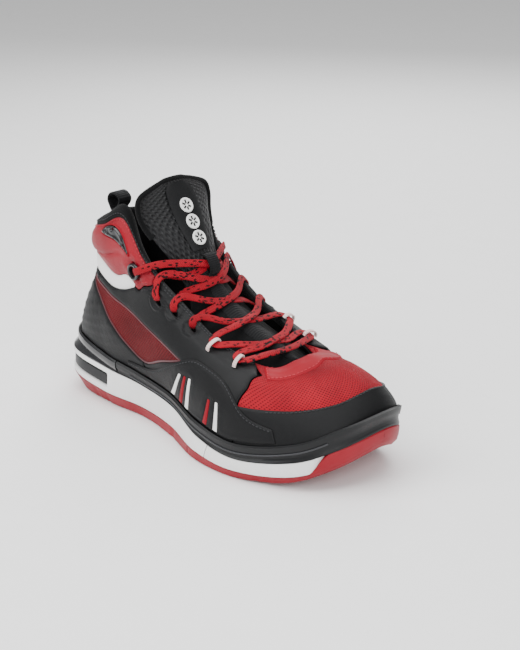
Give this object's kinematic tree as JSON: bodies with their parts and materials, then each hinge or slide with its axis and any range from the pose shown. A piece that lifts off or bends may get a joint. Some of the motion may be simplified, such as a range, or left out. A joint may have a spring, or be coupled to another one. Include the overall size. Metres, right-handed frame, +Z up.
{
  "type": "basketball high top shoe",
  "caption": "High-top athletic shoe with padded ankle collar, laced throat, folding padded tongue top, heel pull loop and cupped rubber and foam sole.",
  "frame": {"origin": "middle of the bounding box, on the ground", "axes": "+X from the heel to the toe, +Y to the medial (inner) side, +Z up"},
  "size_m": [0.3032, 0.1182, 0.181],
  "materials": {
    "collar_leather": "smooth coated leather",
    "black_synthetic": "satin coated synthetic leather",
    "white_synthetic": "smooth coated synthetic leather",
    "red_mesh": "woven open mesh",
    "black_textile": "brushed polyester lining",
    "black_webbing": "ribbed polyester webbing",
    "lace_cord": "flat braid, red with black flecks",
    "white_cord": "thin round braid",
    "fibreboard": "stiff lasting board",
    "collar_padding": "open cell polyurethane foam",
    "white_foam": "moulded EVA foam",
    "red_rubber": "moulded rubber, satin",
    "grey_rubber": "moulded rubber, matt",
    "grey_tpu": "moulded polyurethane, glossy",
    "red_film": "welded film, satin",
    "white_tpu": "moulded badge, satin"
  },
  "bodies": {
    "shoe": {"ankle_stripe": "white_synthetic", "heel_overlay": "black_synthetic", "quarter_lateral": "black_synthetic", "quarter_medial": "black_synthetic", "side_overlay_lateral": "black_synthetic", "side_overlay_medial": "black_synthetic", "toe_guard": "black_synthetic", "backstay": "black_webbing", "lace_keeper": "black_webbing", "mesh_window_lateral": "red_mesh", "mesh_window_medial": "red_mesh", "vamp_mesh": "red_mesh", "collar_lateral": "collar_leather", "collar_medial": "collar_leather", "throat_trim": "red_film", "vent_strip_lateral_1": "white_tpu", "vent_strip_lateral_2": "red_film", "vent_strip_lateral_3": "white_tpu", "vent_strip_lateral_4": "red_film", "vent_strip_lateral_5": "white_tpu", "collar_badge_lateral": "grey_tpu", "collar_grommet_lateral": "grey_tpu", "lace_loop_lateral_1": "white_cord", "lace_loop_lateral_2": "white_cord", "vent_strip_medial_1": "white_tpu", "vent_strip_medial_2": "red_film", "vent_strip_medial_3": "white_tpu", "vent_strip_medial_4": "red_film", "vent_strip_medial_5": "white_tpu", "collar_badge_medial": "grey_tpu", "collar_grommet_medial": "grey_tpu", "lace_loop_medial_1": "white_cord", "lace_loop_medial_2": "white_cord", "heel_counter": "fibreboard", "toe_puff": "fibreboard", "strobel_board": "fibreboard", "collar_foam": "collar_padding", "lining_vamp": "black_textile", "lining_lateral": "black_textile", "lining_medial": "black_textile", "lining_heel": "black_textile", "tongue": "black_textile", "sockliner": "black_textile", "lace": "lace_cord", "outsole_rear": "red_rubber", "outsole_forefoot": "red_rubber", "midsole_rear": "white_foam", "midsole_forefoot": "white_foam", "heel_cushion_insert": "grey_rubber", "sidewall_band": "grey_rubber", "shank_plate": "grey_tpu", "heel_clip": "grey_tpu"},
    "tongue_flap": {"tongue_top": "black_textile", "tongue_overlay": "black_synthetic", "tongue_badge_1": "white_tpu", "tongue_badge_2": "white_tpu", "tongue_badge_3": "white_tpu"},
    "pull_tab": {"pull_loop": "black_webbing"}
  },
  "joints": [
    {"name": "tongue_fold", "type": "hinge", "parent": "shoe", "child": "tongue_flap", "pos_m": [-0.01777, 0.00378, 0.1308], "axis": [0, 1, 0], "range_deg": [0, 35], "stiffness_Nm_per_rad": 0.01},
    {"name": "pull_loop_bend", "type": "hinge", "parent": "shoe", "child": "pull_tab", "pos_m": [-0.11334, 0.00378, 0.14461], "axis": [0, 1, 0], "range_deg": [-20, 25], "stiffness_Nm_per_rad": 0.004}
  ]
}
